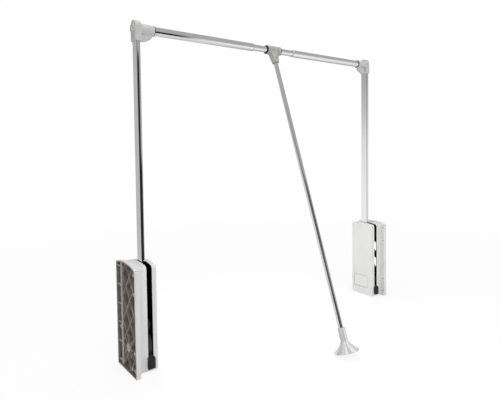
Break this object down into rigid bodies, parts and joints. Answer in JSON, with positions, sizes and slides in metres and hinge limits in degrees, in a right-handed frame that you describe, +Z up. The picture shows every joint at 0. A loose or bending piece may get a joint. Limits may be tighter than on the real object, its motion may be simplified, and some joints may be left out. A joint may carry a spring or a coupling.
{
  "type": "pull down closet rod",
  "caption": "Wardrobe lift: sprung side housings carry swinging arms, a telescopic hanging rod and a pull rod with a flared grip.",
  "frame": {"origin": "on the floor, in the middle of the overall width and depth, with the arms upright and the pull rod leaning on its grip", "axes": "+X along the hanging rod to the right side, -Y to the front where the pull rod leans, +Z up"},
  "size_m": [0.95, 0.3668, 0.848],
  "materials": {
    "housing_grey": "satin light grey painted plastic",
    "connector_grey": "satin grey paint",
    "chrome": "bright chrome plate",
    "steel": "zinc plated steel",
    "black_plastic": "black glass filled plastic",
    "rubber": "black rubber",
    "nylon": "natural nylon",
    "silver": "bright silver paint"
  },
  "bodies": {
    "left_side": {"left_housing_base": "housing_grey", "left_housing_cover": "housing_grey", "left_cover_screw_1": "steel", "left_cover_screw_2": "steel", "left_cover_screw_3": "steel", "left_cover_screw_4": "steel", "left_pivot_pin": "steel", "left_lift_spring": "steel", "left_guide_rod": "steel", "left_spring_seat": "black_plastic", "left_front_bumper": "rubber", "left_upright_stop": "rubber"},
    "left_lift_frame": {"left_lever": "black_plastic", "left_lever_rivet_1": "steel", "left_lever_rivet_2": "steel", "left_cam_roller": "nylon", "left_roller_pin": "steel", "left_arm_tube": "chrome", "left_corner_connector": "connector_grey", "left_connector_screw": "chrome", "left_collar_bush": "black_plastic", "left_outer_tube": "chrome", "left_tube_end_ring": "silver"},
    "left_plunger_set": {"left_plunger": "black_plastic"},
    "right_side": {"right_housing_base": "housing_grey", "right_housing_cover": "housing_grey", "right_cover_screw_1": "steel", "right_cover_screw_2": "steel", "right_cover_screw_3": "steel", "right_cover_screw_4": "steel", "right_pivot_pin": "steel", "right_lift_spring": "steel", "right_guide_rod": "steel", "right_spring_seat": "black_plastic", "right_front_bumper": "rubber", "right_upright_stop": "rubber"},
    "right_lift_frame": {"right_lever": "black_plastic", "right_lever_rivet_1": "steel", "right_lever_rivet_2": "steel", "right_cam_roller": "nylon", "right_roller_pin": "steel", "right_arm_tube": "chrome", "right_corner_connector": "connector_grey", "right_connector_screw": "chrome", "right_collar_bush": "black_plastic", "right_outer_tube": "chrome", "right_tube_end_ring": "silver", "right_lock_screw": "black_plastic"},
    "right_plunger_set": {"right_plunger": "black_plastic"},
    "rod_core": {"inner_tube": "chrome"},
    "pull_handle": {"tee_connector": "connector_grey", "left_tee_bush": "black_plastic", "right_tee_bush": "black_plastic", "tee_pin": "steel", "pull_rod": "chrome", "rod_plug": "black_plastic", "grip_bell": "silver", "grip_screw": "steel"}
  },
  "joints": [
    {"name": "width_adjust", "type": "slide", "parent": "left_side", "child": "right_side", "axis": [1, 0, 0], "range_m": [-0.092, 0.2]},
    {"name": "left_lift", "type": "hinge", "parent": "left_side", "child": "left_lift_frame", "pos_m": [-0.4315, 0.12139, 0.059], "axis": [1, 0, 0], "range_deg": [0, 90], "stiffness_Nm_per_rad": 8, "springref_deg": -28.65},
    {"name": "right_lift", "type": "hinge", "parent": "right_side", "child": "right_lift_frame", "pos_m": [0.4315, 0.12139, 0.059], "axis": [1, 0, 0], "range_deg": [0, 90], "stiffness_Nm_per_rad": 8, "springref_deg": -28.65},
    {"name": "left_plunger_slide", "type": "slide", "parent": "left_side", "child": "left_plunger_set", "axis": [0, 0, 1], "range_m": [0, 0.0496], "deforming": ["left_lift_spring"]},
    {"name": "right_plunger_slide", "type": "slide", "parent": "right_side", "child": "right_plunger_set", "axis": [0, 0, 1], "range_m": [0, 0.0496], "deforming": ["right_lift_spring"]},
    {"name": "rod_core_slide", "type": "slide", "parent": "left_lift_frame", "child": "rod_core", "axis": [1, 0, 0], "range_m": [-0.0461, 0.1001]},
    {"name": "pull_rod_swing", "type": "hinge", "parent": "rod_core", "child": "pull_handle", "pos_m": [0, 0.12839, 0.828], "axis": [1, 0, 0], "range_deg": [-150, 60]}
  ],
  "couplings": [
    {"joint": "right_lift", "follows": "left_lift", "ratio": 1},
    {"joint": "left_plunger_slide", "follows": "left_lift", "m_per_rad": 0.0315},
    {"joint": "right_plunger_slide", "follows": "left_lift", "m_per_rad": 0.0315},
    {"joint": "rod_core_slide", "follows": "width_adjust", "ratio": 0.5}
  ]
}
